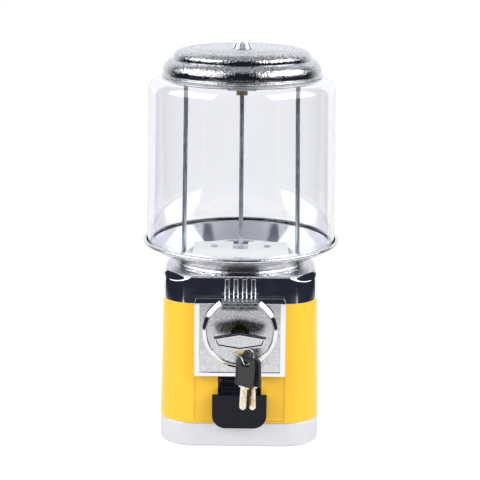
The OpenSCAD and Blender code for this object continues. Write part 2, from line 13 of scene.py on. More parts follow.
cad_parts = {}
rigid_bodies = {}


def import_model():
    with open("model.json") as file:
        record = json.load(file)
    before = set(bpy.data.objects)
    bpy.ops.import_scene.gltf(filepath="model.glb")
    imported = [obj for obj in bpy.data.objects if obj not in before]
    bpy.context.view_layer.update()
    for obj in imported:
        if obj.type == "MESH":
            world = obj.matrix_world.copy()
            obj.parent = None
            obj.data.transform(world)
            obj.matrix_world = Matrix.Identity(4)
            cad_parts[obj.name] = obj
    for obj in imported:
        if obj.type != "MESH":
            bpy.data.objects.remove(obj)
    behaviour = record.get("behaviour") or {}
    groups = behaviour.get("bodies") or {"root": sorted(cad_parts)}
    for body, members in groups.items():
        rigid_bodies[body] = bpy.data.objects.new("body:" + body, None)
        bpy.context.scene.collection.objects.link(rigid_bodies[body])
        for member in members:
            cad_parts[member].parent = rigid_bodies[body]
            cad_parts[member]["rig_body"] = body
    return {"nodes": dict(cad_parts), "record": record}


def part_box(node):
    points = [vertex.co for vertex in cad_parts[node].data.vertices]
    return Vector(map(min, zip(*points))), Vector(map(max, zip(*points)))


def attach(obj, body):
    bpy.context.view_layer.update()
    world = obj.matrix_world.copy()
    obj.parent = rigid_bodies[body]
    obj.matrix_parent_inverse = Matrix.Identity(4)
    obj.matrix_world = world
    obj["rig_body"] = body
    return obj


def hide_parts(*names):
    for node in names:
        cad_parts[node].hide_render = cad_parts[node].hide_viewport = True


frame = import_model()
bpy.context.view_layer.update()

MM = 0.001
nodes = frame["nodes"]


def add_object(name, data):
    made = bpy.data.objects.new(name, data)
    bpy.context.scene.collection.objects.link(made)
    return made


# ---------------------------------------------------------------- camera

SENSOR_WIDTH = 36
FOCAL_LENGTH = 107.2
VIEW_SHIFT = -0.0016
CLIP_RANGE = (0.05, 60)
VIEW_ELEVATION = math.radians(13.41)
VIEW_ROLL = 0.009
VIEW_DISTANCE = 1.4329
VIEW_TARGET = Vector((0, 0, 0.18933))


def make_camera():
    """A long lens in front of the machine, a little above it."""
    data = bpy.data.cameras.new("camera")
    data.sensor_width = SENSOR_WIDTH
    data.lens = FOCAL_LENGTH
    data.shift_x = VIEW_SHIFT
    data.clip_start, data.clip_end = CLIP_RANGE
    camera = add_object("camera", data)
    back = Vector((0, -math.cos(VIEW_ELEVATION), math.sin(VIEW_ELEVATION)))
    camera.location = VIEW_TARGET + back * VIEW_DISTANCE
    turn = (-back).to_track_quat("-Z", "Y").to_matrix().to_4x4()
    camera.rotation_euler = (turn @ Matrix.Rotation(VIEW_ROLL, 4, "Z")).to_euler()
    bpy.context.scene.camera = camera


# ---------------------------------------------------------------- shader helpers

# Sockets of a Mix node that blends colours.
MIX_SHARE, MIX_FIRST, MIX_SECOND, MIX_RESULT = 0, 6, 7, 2


class Nodes:
    """Short ways to add nodes to the tree of a material or a world."""

    def __init__(self, owner, clear=False):
        owner.use_nodes = True
        self.tree = owner.node_tree
        if clear:
            self.tree.nodes.clear()

    def node(self, kind, **values):
        """A new node. Each value goes to its property of that name, or else to its input."""
        made = self.tree.nodes.new("ShaderNode" + kind)
        for key, value in values.items():
            if hasattr(made, key):
                setattr(made, key, value)
            else:
                made.inputs[key.replace("_", " ")].default_value = value
        return made

    def feed(self, socket, value):
        """Sets an input to a colour or a number, or links it to an output."""
        if isinstance(value, tuple):
            socket.default_value = (*value, 1)
        elif isinstance(value, (int, float)):
            socket.default_value = value
        else:
            self.tree.links.new(value, socket)

    def math(self, operation, a, b=0.0):
        made = self.node("Math", operation=operation)
        self.feed(made.inputs[0], a)
        self.feed(made.inputs[1], b)
        return made.outputs["Value"]

    def mix(self, share, first, second):
        """The first colour where share is 0, the second where it is 1."""
        made = self.node("Mix", data_type="RGBA")
        self.feed(made.inputs[MIX_SHARE], share)
        self.feed(made.inputs[MIX_FIRST], first)
        self.feed(made.inputs[MIX_SECOND], second)
        return made.outputs[MIX_RESULT]

    def spread(self, value, within, low=0.0, high=1.0, way="LINEAR"):
        """Low to high as value runs over the range within."""
        made = self.node("MapRange", interpolation_type=way)
        made.inputs["From Min"].default_value, made.inputs["From Max"].default_value = within
        made.inputs["To Min"].default_value, made.inputs["To Max"].default_value = low, high
        self.feed(made.inputs["Value"], value)
        return made.outputs["Result"]

    def step(self, value, middle, soft):
        """A smooth way from 0 to 1, from soft before middle to soft after it."""
        return self.spread(value, (middle - soft, middle + soft), way="SMOOTHSTEP")

    def side_angle(self, x, y):
        """The angle from straight ahead of the machine, the same to its left and right."""
        return self.math("ABSOLUTE", self.math("ARCTAN2", x, self.math("MULTIPLY", y, -1.0)))


class Shader(Nodes):
    """A material with one Principled shader."""

    def __init__(self, name, color, metallic=0.0, roughness=0.5, **sockets):
        self.material = bpy.data.materials.new(name)
        super().__init__(self.material)
        self.main = self.tree.nodes["Principled BSDF"]
        self.out = self.tree.nodes["Material Output"]
        self.relief = None
        self.feed(self.main.inputs["Base Color"], color)
        self.feed(self.main.inputs["Metallic"], metallic)
        self.feed(self.main.inputs["Roughness"], roughness)
        for key, value in sockets.items():
            self.feed(self.main.inputs[key.replace("_", " ")], value)

    def position(self, stretch=None):
        """The point in the row frame, in metres."""
        where = self.node("TexCoord").outputs["Object"]
        if stretch is None:
            return where
        mapping = self.node("Mapping", Scale=stretch)
        self.feed(mapping.inputs["Vector"], where)
        return mapping.outputs["Vector"]

    def noise(self, size, detail=3.0, stretch=None):
        """Noise whose features are about size metres across."""
        made = self.node("TexNoise", Scale=1 / size, Detail=detail)
        self.feed(made.inputs["Vector"], self.position(stretch))
        return made.outputs["Fac"]

    def cells(self, size):
        """Distance to the nearest of many scattered points about size metres apart."""
        made = self.node("TexVoronoi", Scale=1 / size)
        made.feature = "SMOOTH_F1"
        made.inputs["Smoothness"].default_value = 0.6
        self.feed(made.inputs["Vector"], self.position())
        return made.outputs["Distance"]

    def color(self, value, first, second, within=None):
        """Blends two colours by a map, or by the part of its range that is within two values."""
        share = value if within is None else self.spread(value, within)
        self.feed(self.main.inputs["Base Color"], self.mix(share, first, second))

    def roughness(self, value, low, high, within=(0.3, 0.7)):
        """Varies the roughness between low and high by a map."""
        self.feed(self.main.inputs["Roughness"], self.spread(value, within, low, high))

    def bump(self, height, strength, depth):
        """Relief of the given height map, depth metres deep, on top of any before it."""
        made = self.node("Bump", Strength=strength, Distance=depth)
        self.feed(made.inputs["Height"], height)
        if self.relief is not None:
            self.feed(made.inputs["Normal"], self.relief)
        self.relief = made.outputs["Normal"]
        self.feed(self.main.inputs["Normal"], self.relief)


def scaled(color, share):
    return tuple(channel * share for channel in color)


# ---------------------------------------------------------------- materials

CHROME = (0.86, 0.865, 0.88)
ALONG_Z = (1, 1, 0.1)


def smooth_chrome():
    s = Shader("chrome_polished", CHROME, metallic=1.0, roughness=0.05)
    s.roughness(s.noise(0.018, 5.0), 0.025, 0.10, within=(0.35, 0.75))
    s.bump(s.noise(0.006, 2.0), strength=0.10, depth=0.0002)
    return s.material


def pebbled_chrome(name, size, depth, base, rough, hollow_shade=0.8):
    """Chrome over a cast pebble grain, with shade painted into the hollows between the pebbles,
    which are darkened to a share of the base colour.
    """
    s = Shader(name, base, metallic=1.0, roughness=rough)
    grain = s.cells(size)
    s.roughness(s.noise(size * 2.6, 2.0), rough * 0.7, rough * 1.5)
    # Painted shade: the hollows between the pebbles get a darker colour.
    s.color(grain, base, scaled(base, hollow_shade), within=(0.1, 0.7))
    s.bump(grain, strength=0.85, depth=depth)
    s.bump(s.noise(size * 0.45, 2.0), strength=0.4, depth=depth * 0.4)
    return s.material


def yellow_paint():
    s = Shader(
        "yellow_enamel", (0.94, 0.54, 0.024), roughness=0.34,
        Coat_Weight=0.15, Coat_Roughness=0.15,
    )
    s.color(s.noise(0.05), (0.93, 0.525, 0.020), (0.95, 0.555, 0.028), within=(0.3, 0.7))
    s.roughness(s.noise(0.012, 4.0), 0.28, 0.35)
    s.bump(s.noise(0.0016, 2.0), strength=0.12, depth=0.00008)
    return s.material


def silver_paint():
    s = Shader("silver_base_coat", (0.74, 0.745, 0.76), metallic=0.55, roughness=0.36)
    s.color(s.cells(0.0006), (0.80, 0.80, 0.82), (0.66, 0.665, 0.69), within=(0.1, 0.8))
    s.roughness(s.noise(0.01, 4.0), 0.30, 0.44)
    s.bump(s.noise(0.0007, 2.0), strength=0.15, depth=0.00005)
    return s.material


def clear_plastic():
    """Clear plastic. It bends what is seen through it, and lets the lamps' light straight in."""
    s = Shader(
        "clear_moulding", (0.972, 0.976, 0.998), roughness=0.0,
        IOR=1.45, Transmission_Weight=1.0,
    )
    s.bump(s.noise(0.045, 1.0), strength=0.05, depth=0.0006)
    path = s.node("LightPath").outputs
    clear = s.node("BsdfTransparent", Color=(0.95, 0.955, 0.97, 1))
    pick = s.node("MixShader")
    s.feed(pick.inputs[0], s.math("MAXIMUM", path["Is Shadow Ray"], path["Is Diffuse Ray"]))
    s.feed(pick.inputs[1], s.main.outputs[0])
    s.feed(pick.inputs[2], clear.outputs[0])
    s.feed(s.out.inputs["Surface"], pick.outputs[0])
    return s.material


def cream_plastic():
    s = Shader(
        "cream_moulding", (0.88, 0.87, 0.80), roughness=0.42,
        Subsurface_Weight=0.15, Subsurface_Scale=0.002,
    )
    s.color(s.noise(0.02, 4.0), (0.78, 0.78, 0.74), (0.72, 0.72, 0.68))
    s.roughness(s.noise(0.006), 0.34, 0.52)
    s.bump(s.noise(0.0009, 2.0), strength=0.2, depth=0.00006)
    return s.material


def white_plastic():
    s = Shader("white_nylon", (0.80, 0.80, 0.80), roughness=0.48)
    s.color(s.noise(0.015, 4.0), (0.82, 0.82, 0.82), (0.74, 0.745, 0.75))
    s.bump(s.noise(0.0012), strength=0.25, depth=0.0001)
    return s.material


def zinc_steel(name, tint):
    """Plated steel, drawn along Z."""
    s = Shader(name, tint, metallic=1.0, roughness=0.3)
    streak = s.noise(0.0012, 4.0, (1.0, 1.0, 0.04))
    s.color(s.noise(0.008, 4.0), scaled(tint, 0.72), tint, within=(0.35, 0.65))
    s.roughness(streak, 0.22, 0.46)
    s.bump(streak, strength=0.25, depth=0.00006)
    return s.material


def brass(name, shade, rough):
    """Turned brass, darkened by shade, a share that paints shade onto it when below 1."""
    light, deep = (scaled(color, shade) for color in ((0.86, 0.66, 0.30), (0.62, 0.42, 0.13)))
    s = Shader(name, light, metallic=1.0, roughness=rough)
    s.color(s.noise(0.004, 4.0), light, deep)
    s.roughness(s.noise(0.002), rough * 0.7, rough * 1.4)
    s.bump(s.noise(0.0007, 2.0, ALONG_Z), strength=0.2, depth=0.00005)
    return s.material


def black_plastic():
    s = Shader(
        "black_moulding", (0.0035, 0.0045, 0.009), roughness=0.14, Specular_IOR_Level=0.22,
    )
    s.roughness(s.noise(0.012, 5.0), 0.09, 0.24, within=(0.3, 0.75))
    s.bump(s.noise(0.007, 2.0), strength=0.12, depth=0.0002)
    return s.material


def key_plastic():
    s = Shader("key_moulding", (0.020, 0.021, 0.023), roughness=0.42)
    s.color(s.noise(0.004, 4.0), (0.028, 0.029, 0.031), (0.014, 0.015, 0.017))
    s.roughness(s.noise(0.0016), 0.32, 0.55)
    s.bump(s.cells(0.0004), strength=0.25, depth=0.00005)
    return s.material


def key_metal():
    """Worn nickel with the brass showing through, scratched along the blade."""
    s = Shader("key_nickel", (0.84, 0.74, 0.56), metallic=1.0, roughness=0.22)
    s.color(s.noise(0.0035), (0.95, 0.90, 0.80), (0.74, 0.56, 0.34), within=(0.35, 0.65))
    s.roughness(s.noise(0.001, stretch=(1, 1, 0.08)), 0.14, 0.30)
    s.bump(s.noise(0.0006, stretch=(1, 1, 0.06)), strength=0.2, depth=0.00004)
    return s.material


def bright_wire():
    s = Shader("wire_nickel", (0.80, 0.80, 0.81), metallic=1.0, roughness=0.16)
    s.roughness(s.noise(0.002), 0.10, 0.28)
    return s.material


def rubber():
    s = Shader("rubber_moulding", (0.035, 0.035, 0.037), roughness=0.8)
    s.color(s.noise(0.003, 4.0), (0.045, 0.045, 0.047), (0.025, 0.025, 0.026))
    s.bump(s.noise(0.0006), strength=0.4, depth=0.0001)
    return s.material


def bristles():
    s = Shader("brush_fibre", (0.05, 0.05, 0.055), roughness=0.7)
    hair = s.noise(0.0004, 2.0, (1, 1, 0.05))
    s.color(hair, (0.02, 0.02, 0.022), (0.12, 0.12, 0.125))
    s.bump(hair, strength=0.8, depth=0.0003)
    return s.material


# By the material slots of the CAD.
MATERIALS = {
    "silver_base": silver_paint(),
    "yellow_paint": yellow_paint(),
    "chrome": smooth_chrome(),
    "pebbled_chrome": pebbled_chrome(
        "chrome_pebbled", size=0.0007, depth=0.00005, base=(0.82, 0.825, 0.84), rough=0.22,
    ),
    "clear_globe": clear_plastic(),
    "cream_plastic": cream_plastic(),
    "white_plastic": white_plastic(),
    "zinc_steel": zinc_steel("zinc_plate", tint=(0.60, 0.65, 0.70)),
    "brass": brass("brass_turned", shade=1.0, rough=0.25),
    "black_plastic": black_plastic(),
    "key_plastic": key_plastic(),
    "key_nickel": key_metal(),
    "ring_steel": bright_wire(),
    "rubber": rubber(),
    "brush_fibre": bristles(),
}
# For pieces that differ from their slot's material.
HANDLE_CHROME = pebbled_chrome(
    "chrome_handle", size=0.0007, depth=0.00002, base=(0.76, 0.765, 0.785), rough=0.14,
)
HOOD_CHROME = pebbled_chrome(
    "chrome_hood", size=0.0009, depth=0.00006, base=CHROME, rough=0.26,
)
# The lid's and the tray's pebble hollows carry stronger painted shade.
LID_CHROME = pebbled_chrome(
    "chrome_pebbled_lid", size=0.0013, depth=0.00028, base=CHROME, rough=0.08, hollow_shade=0.36,
)
TRAY_CHROME = pebbled_chrome(
    "chrome_pebbled_tray", size=0.0012, depth=0.00022, base=(0.90, 0.905, 0.92), rough=0.12,
    hollow_shade=0.66,
)
# Painted shade: a rough casting coloured near-black for the shaded hollow back and stem of the
# handle, so the disc shows a dark reflection of it.
PAINTED_SHADE_CASTING = zinc_steel("raw_casting_painted_shade", tint=(0.09, 0.09, 0.095))
# Painted shade: the bush's brass is darkened to near black, to merge with the shade round the
# handle.
DULL_BRASS_PAINTED_SHADE = brass("brass_dull_painted_shade", shade=0.05, rough=0.5)
SLOT_OF = {row["node"]: row["material_slot"] for row in frame["record"]["subparts"]}

# ---------------------------------------------------------------- mesh helpers

SAME_PLACE = 1e-6  # metres
MERGE_DISTANCE = 2e-6  # metres, between the corners of neighbouring CAD faces
SEAM = 1e-7  # metres, between corners of a turned shape that meet on its axis
NO_AREA = 1e-14  # square metres
FLAT_ANGLE = math.radians(0.4)
ROUNDING_SEGMENTS = 2
# What is tried in turn where a rounding folds a face: a share of its width, and convex edges only.
ROUNDING_TRIES = ((1, False), (1, True), (0.6, True), (0.4, True), (0.2, True))
NO_FOLD = 1e-9  # square metres
FAR_LESS = 0.5
TURNED_AWAY = 0.3  # cosine between a face and a triangle of it that is folded over
TINY = 1e-12


def add_piece(name, mesh, node, material=None):
    """Puts a mesh in the scene, riding where its CAD node rides and standing for it."""
    piece = add_object(name, mesh)
    slot = SLOT_OF[node]
    if not mesh.materials:
        mesh.materials.append(material or MATERIALS[slot])
    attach(piece, nodes[node]["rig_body"])
    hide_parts(node)
    return piece


def finish_mesh(bm, name, keep_flat=None):
    """Turns a bmesh into a smooth-shaded mesh whose edges past keep_flat degrees stay sharp."""
    bmesh.ops.recalc_face_normals(bm, faces=bm.faces)
    for face in bm.faces:
        face.smooth = True
    if keep_flat is not None:
        for edge in bm.edges:
            if len(edge.link_faces) == 2:
                edge.smooth = edge.calc_face_angle() < math.radians(keep_flat)
    mesh = bpy.data.meshes.new(name)
    bm.to_mesh(mesh)
    bm.free()
    return mesh


def folded_area(bm):
    """Area of the triangles that a folded outline turns the wrong way, in square metres."""
    bm.normal_update()
    area = 0.0
    for triangle in bm.calc_loop_triangles():
        a, b, c = (loop.vert.co for loop in triangle)
        normal = (b - a).cross(c - a)
        if normal.length > TINY:
            if normal.normalized().dot(triangle[0].face.normal) < TURNED_AWAY:
                area += normal.length / 2
    return area


def sharp_edges(bm, angle, convex_only, choose):
    """The edges of a solid that bend by more than angle degrees."""
    return [
        edge
        for edge in bm.edges
        if len(edge.link_faces) == 2
        and edge.calc_face_angle() > math.radians(angle)
        and (edge.is_convex or not convex_only)
        and (choose is None or choose(edge))
    ]


def shading_normals(bm, rounding):
    """A normal for each corner, taken from its faces that aren't part of the rounding."""
    normals = []
    for vert in bm.verts:
        own = [loop for loop in vert.link_loops if loop.face not in rounding] or vert.link_loops
        total = Vector((0, 0, 0))
        for loop in own:
            total += loop.face.normal * (loop.face.calc_area() * loop.calc_angle() + TINY)
        normals.append(total.normalized() if total.length > 0 else vert.normal.copy())
    return normals


def rounded_mesh(bm, name, width, angle=30, choose=None):
    """Rounds a solid's sharp edges by width millimetres, or by less where that folds a face.

    Flat faces keep flat shading up to the rounding.
    """
    bmesh.ops.recalc_face_normals(bm, faces=bm.faces)
    bm.normal_update()
    plain = bpy.data.meshes.new(name + "_plain")
    bm.to_mesh(plain)
    bm.free()
    best = None
    for share, convex_only in ROUNDING_TRIES:
        bm = bmesh.new()
        bm.from_mesh(plain)
        bm.normal_update()
        made = bmesh.ops.bevel(
            bm, geom=sharp_edges(bm, angle, convex_only, choose), offset=width * share * MM,
            offset_type="OFFSET", segments=ROUNDING_SEGMENTS, profile=0.5, affect="EDGES",
            clamp_overlap=False, miter_outer="SHARP",
        )
        rounding = set(made["faces"])
        folded = folded_area(bm)
        if best is None or folded < best[0] * FAR_LESS:
            if best is not None:
                best[1].free()
            best = (folded, bm, rounding)
        else:
            bm.free()
        if folded < NO_FOLD:
            break
    _, bm, rounding = best
    bpy.data.meshes.remove(plain)
    normals = shading_normals(bm, rounding)
    for face in bm.faces:
        face.smooth = True
    mesh = bpy.data.meshes.new(name)
    bm.to_mesh(mesh)
    bm.free()
    mesh.normals_split_custom_set_from_vertices(normals)
    return mesh


def cad_mesh(node):
    """A bmesh of a CAD node, its faces joined."""
    bm = bmesh.new()
    bm.from_mesh(nodes[node].data)
    bmesh.ops.remove_doubles(bm, verts=bm.verts, dist=MERGE_DISTANCE)
    return bm


def soften(node, width, material=None):
    """A copy of a CAD node with its sharp edges rounded by width millimetres."""
    bm = cad_mesh(node)
    bmesh.ops.dissolve_limit(bm, angle_limit=FLAT_ANGLE, verts=bm.verts, edges=bm.edges)
    name = node + "_soft"
    add_piece(name, rounded_mesh(bm, name, width), node, material)


def fillet(points, steps=5):
    """A closed outline from corners (x, y) or (x, y, radius): each radius rounds its corner."""
    outline = []
    count = len(points)
    for i, corner in enumerate(points):
        here = Vector(corner[:2])
        radius = corner[2] if len(corner) > 2 else 0
        if not radius:
            outline.append(here)
            continue
        before = (Vector(points[i - 1][:2]) - here).normalized()
        after = (Vector(points[(i + 1) % count][:2]) - here).normalized()
        half = before.angle(after) / 2
        start = here + before * (radius / math.tan(half))
        middle = here + (before + after).normalized() * (radius / math.sin(half))
        sweep = math.pi - 2 * half
        side = 1 if before.x * after.y - before.y * after.x < 0 else -1
        spoke = start - middle
        for k in range(steps + 1):
            turn = side * sweep * k / steps
            outline.append(middle + Vector((
                spoke.x * math.cos(turn) - spoke.y * math.sin(turn),
                spoke.x * math.sin(turn) + spoke.y * math.cos(turn),
            )))
    return [(p.x, p.y) for p in outline]


def arc(cx, cy, rx, ry, start, end, steps):
    """Points of an arc from start to end degrees."""
    turns = [math.radians(start + (end - start) * k / steps) for k in range(steps + 1)]
    return [(cx + rx * math.cos(turn), cy + ry * math.sin(turn)) for turn in turns]


def circle(radius, z, steps=96):
    angles = [2 * math.pi * k / steps for k in range(steps)]
    return [(radius * math.cos(a), z + radius * math.sin(a)) for a in angles]


def rectangle(half, low, high):
    return [(-half, low), (half, low), (half, high), (-half, high)]


def rounded_rectangle(left, right, low, high, low_radius, high_radius, steps=4):
    """A rectangle whose two low and two high corners have their own radius."""
    return fillet([
        (left, low, low_radius), (right, low, low_radius),
        (right, high, high_radius), (left, high, high_radius),
    ], steps)


def lathe(outline, steps, start=0.0, sweep=360.0):
    """A bmesh of a closed outline of (radius, height) in millimetres, turned about Z."""
    bm = bmesh.new()
    whole = sweep >= 360
    rings = []
    for k in range(steps if whole else steps + 1):
        turn = math.radians(start + sweep * k / steps)
        rings.append([
            bm.verts.new((r * MM * math.cos(turn), r * MM * math.sin(turn), z * MM))
            for r, z in outline
        ])
    count = len(outline)
    for k in range(steps):
        a, b = rings[k], rings[(k + 1) % len(rings)]
        for i in range(count):
            j = (i + 1) % count
            bm.faces.new((a[i], b[i], b[j], a[j]))
    if not whole:
        bm.faces.new(rings[0])
        bm.faces.new(rings[-1][::-1])
    bmesh.ops.remove_doubles(bm, verts=bm.verts, dist=SEAM)
    flat = [face for face in bm.faces if face.calc_area() < NO_AREA]
    bmesh.ops.delete(bm, geom=flat, context="FACES_ONLY")
    return bm


def prism(outline, depths, holes=()):
    """A bmesh of an outline in X and Z that runs along Y with a row of corners at each depth.

    All in millimetres.
    """
    bm = bmesh.new()
    rows = []
    for y in depths:
        edges = []
        for loop in (outline, *holes):
            verts = [bm.verts.new((x * MM, y * MM, z * MM)) for x, z in loop]
            edges += [bm.edges.new((verts[i - 1], verts[i])) for i in range(len(verts))]
        rows.append(edges)
    for edges in (rows[0], rows[-1]):
        bmesh.ops.triangle_fill(bm, use_beauty=True, use_dissolve=True, edges=edges)
    for before, after in zip(rows, rows[1:]):
        for near, far in zip(before, after):
            a, b = near.verts
            c, d = far.verts
            bm.faces.new((a, b, d, c))
    return bm


def place(bm, matrix):
    bmesh.ops.transform(bm, matrix=matrix, verts=bm.verts)
    return bm


# ---------------------------------------------------------------- hopper, globe and lid


def make_lid():
    """A brim, a bulging skirt and a dome, with a round groove in the flat top."""
    low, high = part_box("lid")
    brim, foot, top = high.x / MM, low.z / MM, high.z / MM
    wall = 2.0
    lock_hole = 6.3
    groove_in, groove_out = 49.6, 50.5
    skirt_at, skirt_z, skirt = brim - 12.6, foot + 5.4, 11.1
    dome_at, dome_z, dome = brim - 26.4, foot + 18.4, 15.0
    dome_rise = top - foot - 18.4
    outer = [(brim, foot), (brim, foot + 0.7), (brim - 0.8, foot + 1.2), (brim - 1.6, foot + 1.3)]
    outer += arc(skirt_at, skirt_z, skirt, skirt, -18, 84, 18)
    outer += arc(dome_at, dome_z, dome, dome_rise, -4, 86, 16)
    outer += [(groove_out + 0.5, top), (groove_out, top - 0.3), (groove_in + 0.4, top - 0.8)]
    outer += [(groove_in, top - 0.3), (groove_in - 0.5, top), (lock_hole, top)]
    inner = [(lock_hole, top - wall), (dome_at, top - wall)]
    inner += arc(dome_at, dome_z, dome - wall, dome_rise - wall, 86, -4, 12)
    inner += arc(skirt_at, skirt_z, skirt - wall, skirt - wall, 84, -18, 14)
    inner += [(brim - 3.8, foot)]
    bm = lathe(outer + inner, steps=192)
    mesh = finish_mesh(bm, "lid_shell", keep_flat=60)
    add_piece("lid_shell", mesh, "lid", LID_CHROME)


def make_tray():
    """A rolled rim, a sloping pan and a step under it, with three round ridges on the floor.

    The pan and the inside of the rim are polished, and the rest is pebbled.
    """
    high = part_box("tray")[1]
    rim, top = high.x / MM, high.z / MM
    roll = 1.9
    rim_z = top - roll
    bore, foot, floor, ledge = 47.0, 173.1, 175.6, 189.9
    outline = [(bore, foot, 0.3), (65.0, foot), (65.0, 171.0, 0.4), (67.0, 171.0, 0.4)]
    outline += [(67.0, 173.6, 0.5), (70.0, floor, 1.6), (91.2, 186.6, 2.4)]
    outline += [(rim - 3.4, rim_z - 1.6), (rim - 4, rim_z)]
    shape = fillet(outline, 4)[:-1]
    shape += arc(rim - roll, rim_z, roll, roll, -130, 150, 16)
    shape += [(rim - 3.9, rim_z - 0.6), (rim - 4.3, ledge), (88.6, ledge), (87.2, 189.4)]
    shape += fillet([(87.2, 189.4), (58.0, 175.9, 6.0), (54.7, floor), (54.7, 170)], 5)[1:-2]
    ridge, ridge_foot = 0.8, 0.9
    for middle in (53.6, 51.0, 48.4):
        shape += [(middle + ridge_foot, floor)]
        shape += arc(middle, floor + 0.4, ridge, ridge, 0, 180, 6)
        shape += [(middle - ridge_foot, floor)]
    shape[-1] = (bore, floor)
    mesh = finish_mesh(lathe(shape, steps=192), "tray_pan", keep_flat=60)
    mesh.materials.append(TRAY_CHROME)
    mesh.materials.append(MATERIALS["chrome"])
    pan_edge, roll_middle, rim_foot = rim - 3.9, rim - 2, 188
    facing_up = 0.2
    for face in mesh.polygons:
        center, normal = face.center, face.normal
        radius = math.hypot(center.x, center.y) / MM
        pan = normal.z > facing_up and radius < pan_edge
        inward = center.x * normal.x + center.y * normal.y < 0
        rim_inside = inward and center.z > rim_foot * MM and radius < roll_middle
        face.material_index = 1 if pan or rim_inside else 0
    add_piece("tray_pan", mesh, "tray")


def make_globe():
    """A straight wall with a round shoulder and an open neck."""
    low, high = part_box("globe")
    foot_radius, foot, top = high.x / MM, low.z / MM, high.z / MM
    wall = 2.8
    shoulder = 15.0
    neck = 71.0
    shoulder_at = foot_radius - 1.9 - shoulder
    bend = top - shoulder
    flare_top = foot + 6
    outer = [(foot_radius - 0.4, foot), (foot_radius, foot + 0.4), (foot_radius - 0.1, flare_top)]
    outer += arc(shoulder_at, bend, shoulder, shoulder, 0, 90, 24)
    outer += [(neck + 0.4, top), (neck, top - 0.4)]
    inner = [(neck, top - wall + 0.4), (neck + 0.4, top - wall)]
    inner += arc(shoulder_at, bend, shoulder - wall, shoulder - wall, 90, 0, 24)
    inner += [(foot_radius - 0.1 - wall, flare_top)]
    inner += [(foot_radius - wall, foot + 0.4), (foot_radius - wall + 0.4, foot)]
    bm = lathe(outer + inner, steps=256)
    add_piece("globe_shell", finish_mesh(bm, "globe_shell"), "globe")


# ---------------------------------------------------------------- coin mechanism


def dial_axis():
    """Height of the axis that the dial and handle turn about, in millimetres."""
    low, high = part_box("mech_shaft")
    return (low.z + high.z) / 2 / MM


def facing_front(z):
    """Takes a shape turned about Z to one turned about the dial's axis, its top to the front."""
    return Matrix.Translation((0, 0, z * MM)) @ Matrix.Rotation(math.pi / 2, 4, "X")


def make_dial_ring():
    """A ring whose face slopes back to its outer edge, cut open at the top."""
    low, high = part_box("dial_ring")
    outer, inner = 36.0, 31.4
    back, front = -high.y / MM, -low.y / MM
    shape = fillet([
        (inner, back), (outer, back), (outer, front - 3.0, 0.7),
        (inner + 1.1, front, 0.8), (inner, front - 0.7, 0.4),
    ])
    middle, opening = 33.7, 18.4
    gap = math.degrees(math.asin(opening / middle))
    bm = lathe(shape, steps=150, start=90 + gap, sweep=360 - 2 * gap)
    place(bm, facing_front(dial_axis()))
    add_piece("dial_bezel", finish_mesh(bm, "dial_bezel", keep_flat=60), "dial_ring")


def faces_at(bm, y):
    """The faces of a shape that lie at a depth of y millimetres."""
    return [f for f in bm.faces if all(abs(v.co.y - y * MM) < SAME_PLACE for v in f.verts)]


def sink(faces, distance):
    """Moves the corners of some faces by distance millimetres along Y."""
    for vert in {v for f in faces for v in f.verts}:
        vert.co.y += distance * MM


def make_handle():
    """A six-sided bar with a chamfered front and a hollow back, on a round stem."""
    low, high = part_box("handle")
    z = dial_axis()
    front, back = low.y / MM, -106.0
    tip = high.x / MM
    taper = 2.6
    outline = [(-tip, z + 1.1), (0, z + 5.9), (tip, z + 1.1)]
    outline += [(tip - taper, z - 7.3), (0, z - 11.2), (-tip + taper, z - 7.3)]
    bm = prism(outline, (front, back))
    bmesh.ops.recalc_face_normals(bm, faces=bm.faces)

    wall, draft, hollow = 1.8, 0.02, 4.2
    rear = faces_at(bm, back)
    bmesh.ops.inset_region(bm, faces=rear, thickness=wall * MM)
    bmesh.ops.inset_region(bm, faces=rear, thickness=draft * MM)
    sink(rear, -hollow)

    chamfer, chamfer_depth = 1.3, 0.62
    face = faces_at(bm, front)
    bmesh.ops.inset_region(bm, faces=face, thickness=chamfer * MM)
    inner = {v for f in face for v in f.verts}
    for vert in bm.verts:
        if vert not in inner and vert.co.y < (front + 0.01) * MM:
            vert.co.y += chamfer_depth * MM
    border, slope, recess = 0.8, 1.1, 0.5
    bmesh.ops.inset_region(bm, faces=face, thickness=border * MM)
    bmesh.ops.inset_region(bm, faces=face, thickness=slope * MM)
    sink(face, recess)

    def front_edge(edge):
        return all(v.co.y < (front + 1) * MM for v in edge.verts)

    mesh = rounded_mesh(bm, "handle_bar", width=0.12, angle=12, choose=front_edge)
    mesh.materials.append(HANDLE_CHROME)
    # The faces of the hollow back get the casting with painted shade.
    mesh.materials.append(PAINTED_SHADE_CASTING)
    for polygon in mesh.polygons:
        center, normal = polygon.center, polygon.normal
        away = center.x * normal.x + (center.z - z * MM) * normal.z
        in_hollow = center.y > (back - hollow - 0.1) * MM and (away < 0 or normal.y > 0.5)
        polygon.material_index = 1 if in_hollow else 0
    add_piece("handle_bar", mesh, "handle")

    stem_radius, stem_back, stem_front = 5, 91.3, 109.5
    stem = lathe([
        (0, stem_back), (stem_radius, stem_back), (stem_radius, stem_front), (0, stem_front),
    ], steps=48)
    place(stem, facing_front(z))
    mesh = finish_mesh(stem, "handle_stem", keep_flat=50)
    # The stem behind the handle gets the casting with painted shade too.
    add_piece("handle_stem", mesh, "handle", PAINTED_SHADE_CASTING)


